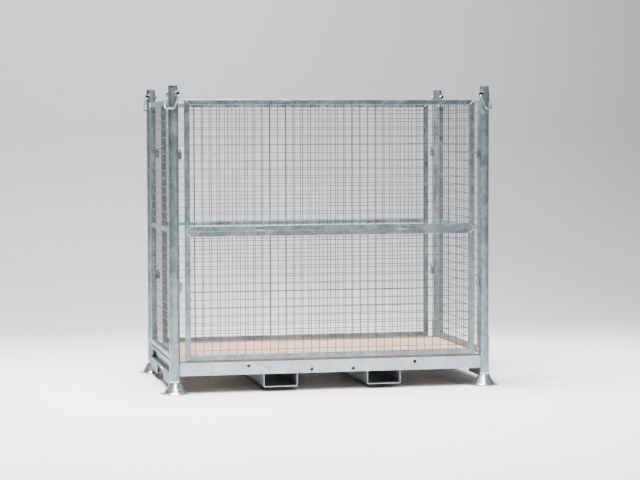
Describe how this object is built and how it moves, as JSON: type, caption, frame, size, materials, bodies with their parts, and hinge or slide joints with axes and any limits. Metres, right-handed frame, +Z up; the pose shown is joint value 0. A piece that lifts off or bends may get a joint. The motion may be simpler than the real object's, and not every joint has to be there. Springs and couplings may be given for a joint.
{
  "type": "stackable post pallet",
  "caption": "Stackable galvanised post pallet with bell feet, plywood floor, crane rings and hung mesh walls; the front wall's upper half folds down.",
  "frame": {"origin": "on the ground at the middle of the footprint", "axes": "+Z up, +X to the right seen from the front, -Y towards the front wall that folds"},
  "size_m": [2.08, 1.255, 1.82],
  "materials": {
    "base_steel": "hot-dip galvanised, light with a faint spangle",
    "bell_feet": "hot-dip galvanised, bright and smooth",
    "post_tubes": "hot-dip galvanised, dull blue-grey with a mottled spangle",
    "wall_frames": "hot-dip galvanised, dull blue-grey",
    "mesh_wire": "galvanised welded wire",
    "small_fittings": "hot-dip galvanised",
    "rings": "hot-dip galvanised, worn smooth where it rubs",
    "plywood": "unpainted plywood with dark layered edges",
    "zinc_fasteners": "zinc plated"
  },
  "bodies": {
    "base": {"front_beam": "base_steel", "rear_beam": "base_steel", "left_beam": "base_steel", "right_beam": "base_steel", "floor_bearers": "base_steel", "floor_board": "plywood", "floor_screws": "zinc_fasteners", "fork_channel_left": "base_steel", "fork_channel_right": "base_steel", "corner_gussets": "base_steel", "foot_front_left": "bell_feet", "foot_front_right": "bell_feet", "foot_rear_left": "bell_feet", "foot_rear_right": "bell_feet", "socket_front_left": "base_steel", "socket_front_right": "base_steel", "socket_rear_left": "base_steel", "socket_rear_right": "base_steel", "post_stops": "base_steel", "post_front_left": "post_tubes", "post_front_right": "post_tubes", "post_rear_left": "post_tubes", "post_rear_right": "post_tubes", "crane_tubes": "post_tubes", "front_lower_sleeves": "small_fittings", "front_upper_sleeves": "small_fittings", "rear_sleeves": "small_fittings", "left_sleeves": "small_fittings", "right_sleeves": "small_fittings"},
    "crane_ring_front_left": {"ring_front_left": "rings"},
    "crane_ring_front_right": {"ring_front_right": "rings"},
    "crane_ring_rear_left": {"ring_rear_left": "rings"},
    "crane_ring_rear_right": {"ring_rear_right": "rings"},
    "front_lower_gate": {"lower_gate_frame": "wall_frames", "lower_gate_mesh": "mesh_wire", "lower_gate_hooks": "small_fittings", "lower_gate_hinges": "small_fittings", "hinge_pins": "zinc_fasteners"},
    "front_upper_gate": {"upper_gate_frame": "wall_frames", "upper_gate_mesh": "mesh_wire", "upper_gate_hooks": "small_fittings", "upper_gate_hinges": "small_fittings"},
    "rear_wall": {"rear_wall_frame": "wall_frames", "rear_wall_mesh": "mesh_wire", "rear_wall_hooks": "small_fittings"},
    "left_wall": {"left_wall_frame": "wall_frames", "left_wall_mesh": "mesh_wire", "left_wall_hooks": "small_fittings"},
    "right_wall": {"right_wall_frame": "wall_frames", "right_wall_mesh": "mesh_wire", "right_wall_hooks": "small_fittings"}
  },
  "joints": [
    {"name": "ring_swing_front_left", "type": "hinge", "parent": "base", "child": "crane_ring_front_left", "pos_m": [-0.95, -0.5375, 1.76225], "axis": [-0.7071, 0.7071, 0], "range_deg": [0, 155]},
    {"name": "ring_swing_front_right", "type": "hinge", "parent": "base", "child": "crane_ring_front_right", "pos_m": [0.95, -0.5375, 1.76225], "axis": [-0.7071, -0.7071, 0], "range_deg": [0, 155]},
    {"name": "ring_swing_rear_left", "type": "hinge", "parent": "base", "child": "crane_ring_rear_left", "pos_m": [-0.95, 0.5375, 1.76225], "axis": [0.7071, 0.7071, 0], "range_deg": [0, 155]},
    {"name": "ring_swing_rear_right", "type": "hinge", "parent": "base", "child": "crane_ring_rear_right", "pos_m": [0.95, 0.5375, 1.76225], "axis": [0.7071, -0.7071, 0], "range_deg": [0, 155]},
    {"name": "front_wall_lift", "type": "slide", "parent": "base", "child": "front_lower_gate", "axis": [0, 0, 1], "range_m": [0, 0.06]},
    {"name": "front_gate_fold", "type": "hinge", "parent": "front_lower_gate", "child": "front_upper_gate", "pos_m": [0, -0.56, 0.96], "axis": [1, 0, 0], "range_deg": [0, 180]},
    {"name": "rear_wall_lift", "type": "slide", "parent": "base", "child": "rear_wall", "axis": [0, 0, 1], "range_m": [0, 0.06]},
    {"name": "left_wall_lift", "type": "slide", "parent": "base", "child": "left_wall", "axis": [0, 0, 1], "range_m": [0, 0.06]},
    {"name": "right_wall_lift", "type": "slide", "parent": "base", "child": "right_wall", "axis": [0, 0, 1], "range_m": [0, 0.06]}
  ]
}
